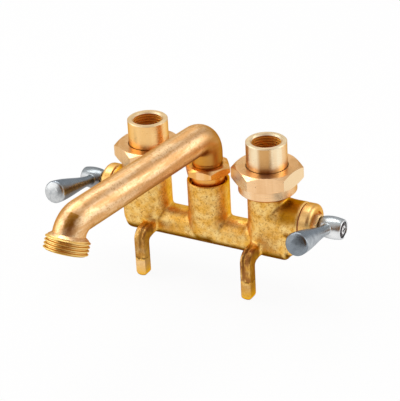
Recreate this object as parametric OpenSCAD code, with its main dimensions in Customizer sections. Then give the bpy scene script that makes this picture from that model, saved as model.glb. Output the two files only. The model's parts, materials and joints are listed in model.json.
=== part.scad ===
// Two-handle utility sink faucet: a cast brass bridge body on two straddle legs, with union
// inlets from above, compression valves at both ends and a swinging spout with a hose thread.
// X runs along the bar, -Y is the front and Z = 0 is the flat underside that sits on the sink.

/* [Body casting] */
// Distance between the two inlet axes
inlet_spacing = 85.7; // [80:0.1:102]
// Diameter of the inlet towers, also the width of the valve blocks
tower_d = 26.6; // [25.6:0.1:29]
// Diameter of the bar that joins the towers
bar_d = 21.2; // [19:0.1:24]
// Depth of the flat ground along the underside
underside_cut = 0.6; // [0.4:0.1:1.2]
// Height of the valve axes above the underside
valve_height = 28.6; // [27.5:0.1:34]
// Reach of each valve block outwards from its inlet axis
block_reach = 17.6; // [16.5:0.1:20]
// Chamfer round the outer face of each valve block
block_chamfer = 2.8; // [0.8:0.1:3.4]
// Reach of each valve boss outwards from its inlet axis
boss_reach = 25.6; // [24.5:0.1:30]
// Diameter of the valve bosses
boss_d = 26; // [25:0.1:28]
// Height of the spout tower above the underside
spout_tower_height = 46; // [42:0.1:54]
// Diameter of the spout tower
spout_tower_d = 27.8; // [27:0.1:32]

/* [Water ways] */
// Bore down each inlet tower
inlet_bore_d = 15; // [12:0.1:16]
// Bore along the bar
bar_bore_d = 12; // [8:0.1:14]
// Bore from each valve chamber down to the bar
drop_bore_d = 7; // [5:0.1:8]
// Wall left under each inlet bore and round the drop bores
water_wall = 2.6; // [2:0.1:3.5]
// Wall that holds each valve seat
seat_wall = 4.2; // [3.5:0.1:5]
// Bore of each valve chamber
chamber_d = 19.2; // [18:0.1:20]

/* [Straddle legs] */
// Distance between the two legs
leg_spacing = 77.6; // [60:0.1:86]
// Width of a leg along the bar
leg_width = 7.6; // [5:0.1:10]
// Thickness of a leg from front to back
leg_depth = 7.6; // [6:0.1:12]
// Distance of the legs' front from the plane of the inlets
leg_front = 27.9; // [25:0.1:36]
// Drop of the leg tips below the underside
leg_drop = 21; // [12:0.1:40]
// Rounding of the leg tips
leg_tip = 2.4; // [0.5:0.1:2.4]
// Height of the top of the leg arms above the underside
arm_top = 12.6; // [10:0.1:16]
// Thickness of the leg arms
arm_depth = 8.6; // [6:0.1:9.5]
// Outer radius of the bend between arm and leg
leg_bend = 8; // [3:0.1:9]
// Fillet inside the bend
leg_fillet = 3; // [1:0.1:4]

/* [Inlet unions] */
// Width of a union nut across its flats
union_af = 40; // [37.6:0.1:44]
// Length of a union nut's hex
union_hex = 11; // [9:0.1:14]
// Length of a union nut's round skirt
union_skirt = 6.8; // [5:0.1:9]
// Diameter of a union nut's round skirt
union_skirt_d = 37.6; // [36:0.1:38]
// Thickness of a union nut's top web
union_web = 4.1; // [3:0.1:5.5]
// Width that is turned off a union nut's ends
union_chamfer = 0.6; // [0.4:0.1:1.6]
// Turn of the left union nut
left_union_turn = 27; // [0:1:59]
// Turn of the right union nut
right_union_turn = 23; // [0:1:59]
// Gap between the valve bosses and the union nuts above them
union_rise = 4.6; // [3:0.1:10]
// Thread diameter of the union heads on the towers
union_thread_d = 32; // [31.4:0.1:34]
// Length of the union heads
union_head = 8; // [6:0.1:10]
// Outside diameter of an inlet tailpiece
tail_d = 26.3; // [25:0.1:27.6]
// Length of an inlet tailpiece, with its flange
tail_length = 24; // [18:0.1:36]
// Diameter of a tailpiece's flange
tail_flange_d = 31; // [29.6:0.1:31.4]
// Thickness of a tailpiece's flange
tail_flange = 3; // [2:0.1:4]
// Bore of a tailpiece below its thread
tail_bore_d = 16.4; // [12:0.1:17]
// Crest diameter of the inlet pipe thread
pipe_crest_d = 18.6; // [17:0.1:19.4]
// Depth of the inlet pipe thread
pipe_depth = 1.1; // [0.6:0.05:1.4]
// Pitch of the inlet pipe thread
pipe_pitch = 1.81; // [1.4:0.01:2.4]
// Turns of the inlet pipe thread
pipe_turns = 7; // [4:1:8]
// Depth of the countersink at the mouth of the inlet thread
pipe_mouth = 1; // [0.8:0.1:2.4]
// Thickness of a union washer
union_washer = 2; // [1:0.1:3]

/* [Spout] */
// Swing of the spout to the left of straight ahead
spout_swing = 7.4; // [-30:0.1:30]
// Diameter of the spout's run
spout_d = 20.2; // [19:0.1:23]
// Diameter of the spout's upright leg
spout_leg_d = 18.8; // [17:0.1:19]
// Bore of the spout
spout_bore_d = 14.6; // [10:0.1:15]
// Gap between the spout and the union nuts that it swings over
spout_rise = 3.4; // [2:0.1:20]
// Radius inside the elbow
elbow_inner = 2.4; // [0.4:0.1:9]
// Gap between the gland nut and the foot of the spout's casting
spout_foot = 1.8; // [0.8:0.1:4]
// Rounding of that foot
foot_round = 1.6; // [0.5:0.1:3]
// Reach of the spout's straight run from its swivel axis
run_reach = 126; // [80:0.5:200]
// Radius inside the outlet bend
bend_inner = 2.3; // [1:0.1:20]
// Angle of the outlet bend
bend_angle = 64; // [30:1:90]
// Length of the neck between the bend and the hose thread
outlet_neck = 2.2; // [2:0.1:15]
// Crest diameter of the hose thread
hose_crest_d = 27; // [26:0.1:30]
// Depth of the hose thread
hose_depth = 1.2; // [0.6:0.05:1.5]
// Pitch of the hose thread
hose_pitch = 2.21; // [1.8:0.01:3]
// Turns of the hose thread
hose_turns = 4; // [3:1:8]
// Bore of the hose outlet
outlet_bore_d = 19; // [15:0.1:21]

/* [Spout gland] */
// Width of the gland nut across its flats
gland_af = 27; // [26:0.1:32]
// Length of the gland nut's hex
gland_hex = 6.4; // [4:0.1:10]
// Width that is turned off the gland nut's ends
gland_chamfer = 2.2; // [0.8:0.1:3]
// Turn of the gland nut
gland_turn = 6; // [0:1:59]
// Length of the neck that shows under the gland nut's hex
gland_neck = 4.4; // [3:0.1:6]
// Diameter of that neck
gland_neck_d = 21.8; // [21:0.1:22.2]
// Depth of the countersink at the mouth of the spout tower
gland_mouth = 1.3; // [0.6:0.1:1.6]
// Thread diameter of the gland nut
gland_thread_d = 23; // [22.6:0.1:23.6]
// Length of the gland nut's thread
gland_thread = 8; // [5:0.1:10]
// Thickness of the spout's retaining ring
ring_thickness = 1.2; // [0.8:0.1:2]
// Depth of the retaining ring in its groove
ring_bite = 0.6; // [0.3:0.1:1]
// Diameter of the spout's spigot
spigot_d = 17.4; // [16.4:0.1:18]
// Length of the spout's spigot
spigot_length = 15; // [12:0.1:16]
// Cross-section of an O-ring on the spigot
oring_section = 1.6; // [1:0.1:2]
// Distance between the two O-rings
oring_spacing = 5; // [3:0.1:6]

/* [Valves] */
// Travel of a stem in one turn of its handle
stem_lead = 6; // [3:0.1:7]
// Turns of a handle from shut to fully open
stem_turns = 0.5; // [0.25:0.05:0.55]
// Thread diameter of a valve seat
seat_thread_d = 12.8; // [11:0.1:13]
// Bore of a valve seat
seat_bore_d = 7.8; // [7:0.1:8.6]
// Thickness of a valve seat's flange
seat_flange = 1; // [0.8:0.1:1.5]
// Height of a valve seat's crown
seat_crown = 0.8; // [0.5:0.1:1.2]
// Diameter of a seat washer
seat_washer_d = 12.8; // [12:0.1:13]
// Thickness of a seat washer
seat_washer = 4; // [3:0.1:4.4]
// Length of a stem's thread
stem_thread = 6.8; // [5:0.1:8]
// Thread diameter of a stem
stem_thread_d = 14; // [11:0.1:14.4]
// Diameter of a stem
stem_d = 7.2; // [6.4:0.1:7.6]
// Length of a stem in the handle's socket
stem_tip = 10; // [6:0.1:11]
// Thread diameter of a bonnet
bonnet_thread_d = 21.6; // [21:0.1:22.4]
// Length of a bonnet's thread
bonnet_thread = 7.4; // [5:0.1:8]
// Thickness of a bonnet's gasket
bonnet_gasket = 0.6; // [0.4:0.1:1.5]
// Depth of the gasket inside the bonnet's edge
gasket_inset = 1; // [0.4:0.1:1.2]
// Diameter of a bonnet's cap
bonnet_d = 25.8; // [24.4:0.1:28]
// Length of a bonnet's cap
bonnet_cap = 7.6; // [6:0.1:12]
// Rounding of a bonnet's outer edge
bonnet_round = 3; // [1:0.1:3.4]
// Diameter of the recess round a packing nut
bonnet_recess_d = 17; // [16.4:0.1:17.4]
// Depth of that recess
bonnet_recess = 1.4; // [0.6:0.1:2]
// Diameter of the neck that a packing nut screws on
packing_neck_d = 10.6; // [10.4:0.1:10.9]
// Length of that neck
packing_neck = 3; // [2.6:0.1:4]
// Bore that holds the packing ring
packing_bore_d = 9.2; // [8.6:0.1:9.4]
// Width of a packing nut across its flats
packing_af = 12.6; // [12.2:0.1:14]
// Turn of the packing nuts
packing_turn = 10; // [0:1:59]
// Thickness of a packing nut's end
packing_end = 1; // [0.8:0.1:2]

/* [Handles] */
// Gap between a handle and its packing nut when the valve is shut
handle_gap = 0.7; // [0.4:0.1:3]
// Length of a handle's hub
hub_length = 15.4; // [13:0.1:20]
// Largest diameter of a handle's hub
hub_d = 14.6; // [13:0.1:18]
// Diameter of a hub's inner end
hub_root_d = 12.4; // [11.6:0.1:13]
// Diameter of a hub's outer end
hub_end_d = 12.8; // [12.2:0.1:14]
// Distance of the lever's axis from the hub's inner end
lever_offset = 6.4; // [4:0.1:8]
// Rise of the levers above straight ahead
lever_tilt = 15; // [-30:1:45]
// Length of a lever from the valve axis
lever_length = 53; // [40:0.5:75]
// Diameter of a lever's neck
lever_neck_d = 6.4; // [5:0.1:8]
// Diameter of a lever's end
lever_end_d = 14.8; // [12:0.1:18]
// Diameter of a handle screw's head
handle_screw_d = 8.4; // [6:0.1:8.8]
// Gap round that head in its recess
recess_gap = 1.1; // [0.4:0.1:1.3]
// Depth of the recess in the hub's end
recess_depth = 1.8; // [1.4:0.1:2.4]

/* [Clearances] */
// Radial gap of a screwed pair
thread_gap = 0.1; // [0.05:0.01:0.2]
// Radial gap of a running fit
run_gap = 0.05; // [0.02:0.01:0.1]
// Gap round the spout in its gland nut
spout_gap = 0.35; // [0.2:0.05:0.6]
// Gap round a tailpiece in its union nut
tail_gap = 0.5; // [0.2:0.05:0.8]
// Gap at the end of a stroke
end_gap = 0.4; // [0.3:0.1:1]

/* [Hidden] */
$fn = 96;
brass_cast = [0.78, 0.58, 0.24];
brass_bright = [0.93, 0.74, 0.46];
brass_rosy = [0.89, 0.60, 0.30];
brass_spout = [0.88, 0.68, 0.40];
zinc = [0.62, 0.65, 0.68];
steel = [0.82, 0.82, 0.83];
rubber = [0.10, 0.10, 0.10];
fibre = [0.45, 0.20, 0.14];

sides = [-1, 1];
half = inlet_spacing / 2;
overlap = 1;
seam = 0.1;
edge_break = 0.5;

// Levels of the casting
bar_z = bar_d / 2 - underside_cut;
block_z = tower_d / 2 - underside_cut;
inlet_floor_z = bar_z + bar_bore_d / 2 + water_wall;
nut_low_z = valve_height + boss_d / 2 + union_rise;
nut_hex_z = nut_low_z + union_skirt;
nut_top_z = nut_hex_z + union_hex;
flange_top_z = nut_top_z - union_web;
flange_low_z = flange_top_z - tail_flange;
union_seat_z = flange_low_z - union_washer;
tail_top_z = flange_low_z + tail_length;
union_flare = (union_thread_d - tower_d) / 2;

// Levels of the spout and its gland
elbow_radius = spout_d / 2 + elbow_inner;
bend_radius = spout_d / 2 + bend_inner;
gland_hex_z = spout_tower_height + gland_neck;
gland_top_z = gland_hex_z + gland_hex;
gland_thread_z = spout_tower_height - 2 * gland_mouth;
foot_z = gland_top_z + spout_foot;
run_z = max(nut_top_z + spout_rise + spout_d / 2, foot_z + foot_round + elbow_radius + overlap);
gland_low_z = spout_tower_height - gland_thread;
ring_top_z = gland_low_z - end_gap;
ring_low_z = ring_top_z - ring_thickness;
socket_z = ring_low_z - end_gap;
spigot_top_z = socket_z + end_gap / 2;
spigot_low_z = spigot_top_z - spigot_length;
oring_low_z = spigot_low_z + oring_section * 1.5;
oring_levels = [oring_low_z, oring_low_z + oring_spacing];
gland_bore_d = spout_leg_d + 2 * spout_gap;
gland_seat_d = gland_thread_d + 2 * thread_gap;
socket_d = spigot_d + 2 * run_gap;
ring_in_d = spout_leg_d - 2 * ring_bite;
ring_out_d = gland_seat_d - 2 * spout_gap;
oring_groove_d = socket_d - 2 * oring_section - 2 * run_gap;

// Places along a valve's axis, measured outwards from its inlet axis
cup_base = 2;
chamber_v = inlet_bore_d / 2 + seat_wall;
seat_face_v = chamber_v + seat_flange;
crown_v = seat_face_v + seat_crown;
washer_v = crown_v + run_gap;
washer_back_v = washer_v + seat_washer;
cup_v = washer_v + seat_washer / 2;
cup_floor_v = washer_back_v + run_gap;
cup_back_v = cup_floor_v + cup_base;
stroke = stem_lead * stem_turns;
stem_thread_v = cup_back_v + stem_thread;
bonnet_v = boss_reach - bonnet_thread;
counterbore_v = cup_back_v + stroke + end_gap;
bonnet_bore_v = stem_thread_v + stroke + end_gap;
flange_v = boss_reach + bonnet_gasket;
neck_v = max(flange_v + bonnet_cap - bonnet_recess, bonnet_bore_v + water_wall);
cap_v = neck_v + bonnet_recess;
neck_end_v = neck_v + packing_neck;
packing_v = neck_v - packing_neck / 3;
follower_v = neck_end_v - packing_neck / 3;
packing_nut_v = neck_end_v + run_gap;
packing_nut_end_v = packing_nut_v + packing_end;
hub_v = packing_nut_end_v + handle_gap;
hub_end_v = hub_v + hub_length;
socket_end_v = hub_v + stem_tip + run_gap;
stem_end_v = hub_v + stem_tip;
recess_v = hub_end_v - recess_depth;
lever_v = hub_v + lever_offset;

// Sizes of a valve's turned pieces
seat_margin = 1.5;
seat_flange_d = chamber_d - 2 * seat_margin;
seat_crown_d = (seat_bore_d + seat_washer_d) / 2;
cup_in_d = seat_washer_d + 2 * thread_gap;
cup_wall = 1;
cup_out_d = cup_in_d + 2 * cup_wall;
counterbore_d = cup_out_d + 2 * end_gap;
stem_bore_d = stem_thread_d + 2 * run_gap;
shaft_bore_d = stem_d + 2 * run_gap;
washer_screw_d = 3.6;
washer_head_gap = 0.7;
washer_head_d = seat_bore_d - 2 * washer_head_gap;
washer_head = 1.2;
washer_shank = 8;
handle_shank_d = 3.2;
handle_shank = 9;
recess_d = handle_screw_d + 2 * recess_gap;
drop_v = block_reach - water_wall - drop_bore_d / 2;
drop_top_z = valve_height - seat_thread_d / 2 - seat_margin;

// Round pieces follow the valve's axis, outwards
module turned(points) {
    rotate([0, 90, 0]) rotate_extrude() polygon(points);
}

module bar_x(d, from, to) {
    translate([from, 0, 0]) rotate([0, 90, 0]) cylinder(d = d, h = to - from);
}

// A hex with the corners of both ends turned off, down to the given diameters
module hex_nut(af, from, to, turn, low_d, top_d) {
    wide = af / cos(30) + overlap;
    low_rise = (wide - low_d) / 2 * tan(30);
    top_rise = (wide - top_d) / 2 * tan(30);
    intersection() {
        translate([0, 0, from]) rotate([0, 0, turn])
            cylinder(d = af / cos(30), h = to - from, $fn = 6);
        rotate_extrude() polygon([
            [0, from - seam],
            [low_d / 2, from - seam],
            [wide / 2, from + low_rise],
            [wide / 2, to - top_rise],
            [top_d / 2, to + seam],
            [0, to + seam]
        ]);
    }
}

module ring_z(d_in, d_out, from, to) {
    translate([0, 0, from]) difference() {
        cylinder(d = d_out, h = to - from);
        translate([0, 0, -overlap]) cylinder(d = d_in, h = to - from + 2 * overlap);
    }
}

// Outline of a thread: equal flats on its roots and crests with sloping flanks between them
thread_flat = 0.22;
function thread_points(root, crest, pitch, turns, from) = [
    for (i = [0 : turns - 1])
        for (p = [[0, root], [thread_flat, root], [0.5, crest], [0.5 + thread_flat, crest]])
            [p[1], from + (i + p[0]) * pitch]
];

module on_inlet(side) {
    translate([side * half, 0, 0]) children();
}

module on_valve(side) {
    translate([side * half, 0, valve_height]) mirror([side < 0 ? 1 : 0, 0, 0]) children();
}

// Body casting
module inlet_tower() {
    rotate_extrude() intersection() {
        union() {
            translate([0, block_z]) circle(d = tower_d);
            translate([0, block_z]) square([tower_d / 2, union_seat_z - block_z]);
            polygon([
                [0, union_seat_z - union_head - union_flare],
                [tower_d / 2, union_seat_z - union_head - union_flare],
                [union_thread_d / 2, union_seat_z - union_head],
                [union_thread_d / 2, union_seat_z],
                [0, union_seat_z]
            ]);
        }
        translate([0, -overlap]) square([union_thread_d, union_seat_z + 2 * overlap]);
    }
}

// A block's section is two round ends, joined by flats
module block_slice(d, from, to) {
    for (z = [block_z, valve_height])
        translate([0, 0, z]) bar_x(d, from, to);
    translate([from, -d / 2, block_z]) cube([to - from, d, valve_height - block_z]);
}

module valve_block() {
    wide = tower_d - 2 * seam;
    block_slice(wide, 0, block_reach - block_chamfer);
    block_slice(wide - 2 * block_chamfer, block_reach - block_chamfer - overlap, block_reach);
    translate([0, 0, valve_height]) turned([
        [0, 0],
        [boss_d / 2, 0],
        [boss_d / 2, boss_reach - edge_break],
        [boss_d / 2 - edge_break, boss_reach],
        [0, boss_reach]
    ]);
}

module spout_tower() {
    round_z = spout_tower_d / 2 + underside_cut;
    rotate_extrude() intersection() {
        union() {
            translate([0, round_z]) circle(d = spout_tower_d);
            translate([0, round_z]) square([spout_tower_d / 2, spout_tower_height - round_z]);
        }
        square([spout_tower_d, spout_tower_height]);
    }
}

module above_ground() {
    reach = half + boss_reach;
    intersection() {
        children();
        translate([-reach, -leg_front, 0]) cube([2 * reach, 2 * leg_front, tail_top_z]);
    }
}

module leg_outline() {
    back = leg_front - leg_depth;
    low = arm_top - arm_depth;
    difference() {
        union() {
            translate([0, low]) square([leg_front, arm_depth]);
            translate([back, -leg_drop]) square([leg_depth, leg_drop + arm_top]);
            translate([back - leg_fillet, low - leg_fillet]) square([leg_fillet, leg_fillet + overlap]);
        }
        translate([leg_front - leg_bend, arm_top - leg_bend]) difference() {
            square(leg_bend + overlap);
            circle(r = leg_bend);
        }
        translate([back - leg_fillet, low - leg_fillet]) circle(r = leg_fillet);
    }
}

// A leg from the front: straight sides and rounded corners at the tip
module leg_face() {
    side = leg_width / 2 - leg_tip;
    low = leg_tip - leg_drop;
    polygon(concat(
        [[leg_width / 2, arm_top], [-leg_width / 2, arm_top]],
        [for (a = [0 : 15 : 90]) [-side - leg_tip * cos(a), low - leg_tip * sin(a)]],
        [for (a = [90 : -15 : 0]) [side + leg_tip * cos(a), low - leg_tip * sin(a)]]
    ));
}

module leg() {
    intersection() {
        translate([-leg_width, 0, 0]) rotate([90, 0, -90]) mirror([0, 0, 1])
            linear_extrude(2 * leg_width) leg_outline();
        translate([0, overlap, 0]) rotate([90, 0, 0])
            linear_extrude(leg_front + 2 * overlap) leg_face();
    }
}

module casting() {
    above_ground() translate([0, 0, bar_z]) bar_x(bar_d, -half, half);
    spout_tower();
    for (side = sides) {
        above_ground() on_inlet(side) inlet_tower();
        above_ground() on_inlet(side) mirror([side < 0 ? 1 : 0, 0, 0]) valve_block();
        translate([side * leg_spacing / 2, 0, 0]) leg();
    }
}

module spout_socket() {
    translate([0, 0, bar_z]) cylinder(d = bar_bore_d, h = spigot_low_z - bar_z);
    translate([0, 0, spigot_low_z - end_gap]) cylinder(d = socket_d, h = socket_z - spigot_low_z + end_gap);
    translate([0, 0, socket_z])
        cylinder(d = gland_seat_d, h = spout_tower_height - socket_z + overlap);
    translate([0, 0, spout_tower_height - gland_mouth])
        cylinder(d1 = gland_seat_d, d2 = gland_seat_d + 2 * gland_mouth + 2 * seam, h = gland_mouth + seam);
}

module water_ways() {
    drop = half + drop_v;
    translate([0, 0, bar_z]) bar_x(bar_bore_d, -drop, drop);
    spout_socket();
    for (side = sides) {
        on_inlet(side) translate([0, 0, inlet_floor_z])
            cylinder(d = inlet_bore_d, h = union_seat_z - inlet_floor_z + overlap);
        on_valve(side) {
            bar_x(seat_thread_d + 2 * thread_gap, 0, chamber_v + overlap);
            bar_x(chamber_d, chamber_v, bonnet_v + overlap);
            bar_x(bonnet_thread_d + 2 * thread_gap, bonnet_v - end_gap, boss_reach + overlap);
        }
        translate([side * drop, 0, bar_z]) cylinder(d = drop_bore_d, h = drop_top_z - bar_z);
    }
}

module body() {
    color(brass_cast) difference() {
        casting();
        water_ways();
    }
}

// Inlet unions
module tailpiece(side) {
    crest = pipe_crest_d / 2;
    root = crest + pipe_depth;
    first = tail_top_z - pipe_mouth - pipe_turns * pipe_pitch;
    color(brass_bright) on_inlet(side) rotate_extrude() polygon(concat(
        [[tail_bore_d / 2, flange_low_z], [tail_bore_d / 2, first - overlap], [crest, first - overlap]],
        thread_points(crest, root, pipe_pitch, pipe_turns, first),
        [
            [crest, tail_top_z - pipe_mouth],
            [crest + pipe_mouth, tail_top_z],
            [tail_d / 2 - edge_break, tail_top_z],
            [tail_d / 2, tail_top_z - edge_break],
            [tail_d / 2, flange_top_z],
            [tail_flange_d / 2, flange_top_z],
            [tail_flange_d / 2, flange_low_z]
        ]
    ));
}

module union_nut(side) {
    bevel = 1.2;
    turn = side < 0 ? left_union_turn : right_union_turn;
    low_d = union_skirt_d + union_chamfer;
    color(brass_bright) on_inlet(side) difference() {
        union() {
            hex_nut(union_af, nut_hex_z, nut_top_z, turn, low_d, union_af - union_chamfer);
            rotate_extrude() polygon([
                [0, nut_low_z],
                [union_skirt_d / 2 - bevel, nut_low_z],
                [union_skirt_d / 2, nut_low_z + bevel],
                [union_skirt_d / 2, nut_hex_z + overlap],
                [0, nut_hex_z + overlap]
            ]);
        }
        translate([0, 0, nut_low_z - overlap])
            cylinder(d = union_thread_d + 2 * thread_gap, h = flange_top_z - nut_low_z + overlap);
        translate([0, 0, nut_low_z])
            cylinder(d = tail_d + 2 * tail_gap, h = nut_top_z - nut_low_z + overlap);
    }
}

module union_washer_ring(side) {
    color(fibre) on_inlet(side)
        ring_z(tail_bore_d + 2 * tail_gap, tail_flange_d - 2 * tail_gap, union_seat_z, flange_low_z);
}

// Spout
// Each length starts a little inside the one before it and is a little thinner
module spout_path(run, leg, low) {
    straight = run_z - elbow_radius;
    lead_in = 4;
    step = (run - leg) / 2;
    rotate_extrude() polygon(concat(
        [[0, low], [leg / 2, low]],
        [for (a = [0 : 15 : 90]) [leg / 2 + step * sin(a), foot_z + foot_round * (1 - cos(a))]],
        [[run / 2, straight], [0, straight]]
    ));
    translate([elbow_radius, 0, straight]) rotate([90, 0, 0]) rotate([0, 0, 90])
        rotate_extrude(angle = 90) translate([elbow_radius, 0]) circle(d = run);
    translate([0, 0, run_z]) bar_x(run, elbow_radius, run_reach);
    translate([run_reach, 0, run_z - bend_radius]) rotate([90, 0, 0]) rotate([0, 0, 90 - bend_angle])
        rotate_extrude(angle = bend_angle + lead_in) translate([bend_radius, 0]) circle(d = run - seam);
    on_outlet() translate([0, 0, -overlap]) cylinder(d = run - 2 * seam, h = outlet_neck + 2 * overlap);
}

module on_outlet() {
    x = run_reach + bend_radius * sin(bend_angle);
    z = run_z - bend_radius * (1 - cos(bend_angle));
    translate([x, 0, z]) rotate([0, 90 + bend_angle, 0]) children();
}

module hose_thread() {
    crest = hose_crest_d / 2;
    root = crest - hose_depth;
    flare = crest - spout_d / 2;
    start = outlet_neck - flare / 2;
    end = outlet_neck + hose_turns * hose_pitch;
    end_bevel = 0.3;
    rotate_extrude() polygon(concat(
        [[0, start], [spout_d / 2, start], [root, outlet_neck]],
        thread_points(root, crest, hose_pitch, hose_turns, outlet_neck),
        [[root, end], [root - end_bevel, end + end_bevel], [0, end + end_bevel]]
    ));
}

module spout() {
    end = outlet_neck + hose_turns * hose_pitch + overlap;
    color(brass_spout) rotate([0, 0, -90 - spout_swing]) difference() {
        union() {
            spout_path(spout_d, spout_leg_d, spigot_top_z);
            on_outlet() hose_thread();
            translate([0, 0, spigot_low_z]) cylinder(d = spigot_d, h = spigot_length + overlap / 2);
        }
        spout_path(spout_bore_d, min(spout_bore_d, oring_groove_d - 3), spigot_low_z - overlap);
        on_outlet() translate([0, 0, outlet_neck]) cylinder(d = outlet_bore_d, h = end);
        ring_z(ring_in_d, spout_d, ring_low_z, ring_top_z);
        for (z = oring_levels)
            ring_z(oring_groove_d, spout_d, z, z + oring_section + 2 * run_gap);
    }
}

module spout_o_rings() {
    color(rubber) for (z = oring_levels)
        translate([0, 0, z + oring_section / 2 + run_gap]) rotate_extrude()
            translate([(socket_d - oring_section) / 2 - run_gap / 2, 0]) circle(d = oring_section);
}

module spout_retaining_ring() {
    split = 3;
    color(steel) rotate([0, 0, -90 - spout_swing]) difference() {
        ring_z(ring_in_d + run_gap, ring_out_d, ring_low_z + run_gap, ring_top_z - run_gap);
        translate([0, -split / 2, ring_low_z - overlap])
            cube([ring_out_d, split, ring_thickness + 2 * overlap]);
    }
}

module spout_gland_nut() {
    end_d = gland_af - gland_chamfer;
    color(brass_rosy) difference() {
        union() {
            hex_nut(gland_af, gland_hex_z, gland_top_z, gland_turn, end_d, end_d);
            rotate_extrude() polygon([
                [0, gland_low_z],
                [gland_thread_d / 2, gland_low_z],
                [gland_thread_d / 2, gland_thread_z],
                [gland_neck_d / 2, gland_thread_z],
                [gland_neck_d / 2, gland_hex_z - edge_break],
                [gland_neck_d / 2 + edge_break, gland_hex_z],
                [gland_neck_d / 2 + edge_break, gland_hex_z + overlap],
                [0, gland_hex_z + overlap]
            ]);
        }
        translate([0, 0, gland_low_z - overlap])
            cylinder(d = gland_bore_d, h = gland_top_z - gland_low_z + 2 * overlap);
    }
}

// Valves
module valve_seat(side) {
    low = chamber_v - seat_wall + thread_gap;
    color(brass_bright) on_valve(side) turned([
        [seat_bore_d / 2, low],
        [seat_thread_d / 2, low],
        [seat_thread_d / 2, chamber_v],
        [seat_flange_d / 2, chamber_v],
        [seat_flange_d / 2, seat_face_v],
        [seat_crown_d / 2, seat_face_v],
        [seat_crown_d / 2, crown_v],
        [seat_bore_d / 2, crown_v]
    ]);
}

module seat_washer_disc(side) {
    color(rubber) on_valve(side) turned([
        [washer_screw_d / 2 + thread_gap, washer_v],
        [seat_washer_d / 2, washer_v],
        [seat_washer_d / 2, washer_back_v],
        [washer_screw_d / 2 + thread_gap, washer_back_v]
    ]);
}

module washer_screw(side) {
    head_v = washer_v - run_gap;
    color(brass_bright) on_valve(side) turned([
        [0, head_v - washer_head],
        [washer_head_d / 2, head_v - washer_head],
        [washer_head_d / 2, head_v],
        [washer_screw_d / 2, head_v],
        [washer_screw_d / 2, cup_floor_v + washer_shank - end_gap],
        [0, cup_floor_v + washer_shank - end_gap]
    ]);
}

module stem(side) {
    tap = washer_screw_d / 2 + thread_gap;
    handle_tap = handle_shank_d / 2 + thread_gap;
    color(brass_bright) on_valve(side) turned([
        [tap, cup_floor_v],
        [cup_in_d / 2, cup_floor_v],
        [cup_in_d / 2, cup_v],
        [cup_out_d / 2, cup_v],
        [cup_out_d / 2, cup_back_v],
        [stem_thread_d / 2, cup_back_v],
        [stem_thread_d / 2, stem_thread_v],
        [stem_d / 2, stem_thread_v],
        [stem_d / 2, stem_end_v],
        [handle_tap, stem_end_v],
        [handle_tap, stem_end_v - handle_shank],
        [0, stem_end_v - handle_shank],
        [0, cup_floor_v + washer_shank],
        [tap, cup_floor_v + washer_shank]
    ]);
}

module bonnet(side) {
    middle = bonnet_d / 2 - bonnet_round;
    color(brass_bright) on_valve(side) difference() {
        turned(concat(
            [
                [0, bonnet_v],
                [bonnet_thread_d / 2, bonnet_v],
                [bonnet_thread_d / 2, flange_v],
                [bonnet_d / 2 - edge_break, flange_v],
                [bonnet_d / 2, flange_v + edge_break]
            ],
            [for (a = [0 : 10 : 90])
                [middle + bonnet_round * cos(a), cap_v - bonnet_round + bonnet_round * sin(a)]],
            [
                [bonnet_recess_d / 2, cap_v],
                [bonnet_recess_d / 2, neck_v],
                [packing_neck_d / 2, neck_v],
                [packing_neck_d / 2, neck_end_v],
                [0, neck_end_v]
            ]
        ));
        turned([
            [0, bonnet_v - overlap],
            [counterbore_d / 2, bonnet_v - overlap],
            [counterbore_d / 2, counterbore_v],
            [stem_bore_d / 2, counterbore_v],
            [stem_bore_d / 2, bonnet_bore_v],
            [shaft_bore_d / 2, bonnet_bore_v],
            [shaft_bore_d / 2, packing_v],
            [packing_bore_d / 2, packing_v],
            [packing_bore_d / 2, neck_end_v + overlap],
            [0, neck_end_v + overlap]
        ]);
    }
}

module bonnet_gasket_ring(side) {
    color(fibre) on_valve(side) turned([
        [bonnet_thread_d / 2 + thread_gap, boss_reach],
        [bonnet_d / 2 - gasket_inset, boss_reach],
        [bonnet_d / 2 - gasket_inset, flange_v],
        [bonnet_thread_d / 2 + thread_gap, flange_v]
    ]);
}

module packing_ring(side) {
    color(rubber) on_valve(side) turned([
        [shaft_bore_d / 2, packing_v],
        [packing_bore_d / 2 - run_gap, packing_v],
        [packing_bore_d / 2 - run_gap, follower_v],
        [shaft_bore_d / 2, follower_v]
    ]);
}

module packing_nut(side) {
    low_d = packing_af + edge_break;
    top_d = packing_af - edge_break;
    color(brass_bright) on_valve(side) difference() {
        rotate([0, 90, 0])
            hex_nut(packing_af, neck_v + run_gap, packing_nut_end_v, packing_turn, low_d, top_d);
        turned([
            [packing_bore_d / 2 - run_gap, neck_v - overlap],
            [packing_neck_d / 2 + thread_gap, neck_v - overlap],
            [packing_neck_d / 2 + thread_gap, packing_nut_v],
            [packing_bore_d / 2 - run_gap, packing_nut_v]
        ]);
        bar_x(packing_bore_d, neck_v - overlap, follower_v);
        bar_x(stem_d + 2 * spout_gap, neck_v - overlap, packing_nut_end_v + overlap);
    }
}

// Handles
function hub_fall(t) = t < 0 ? (hub_d - hub_root_d) / 2 : (hub_d - hub_end_d) / 2;
function hub_radius(t) = hub_d / 2 - hub_fall(t) * t * t;
function lever_radius(t) = lever_neck_d / 2 + (lever_end_d - lever_neck_d) / 2 * (3 - 2 * t) * t * t;

module hub_solid() {
    steps = 6;
    wide = hub_length / 2 - edge_break;
    turned(concat(
        [[0, hub_v], [hub_root_d / 2 - edge_break, hub_v]],
        [for (i = [-steps : steps]) [hub_radius(i / steps), hub_v + hub_length / 2 + wide * i / steps]],
        [[hub_end_d / 2 - edge_break, hub_end_v], [0, hub_end_v]]
    ));
}

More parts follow.
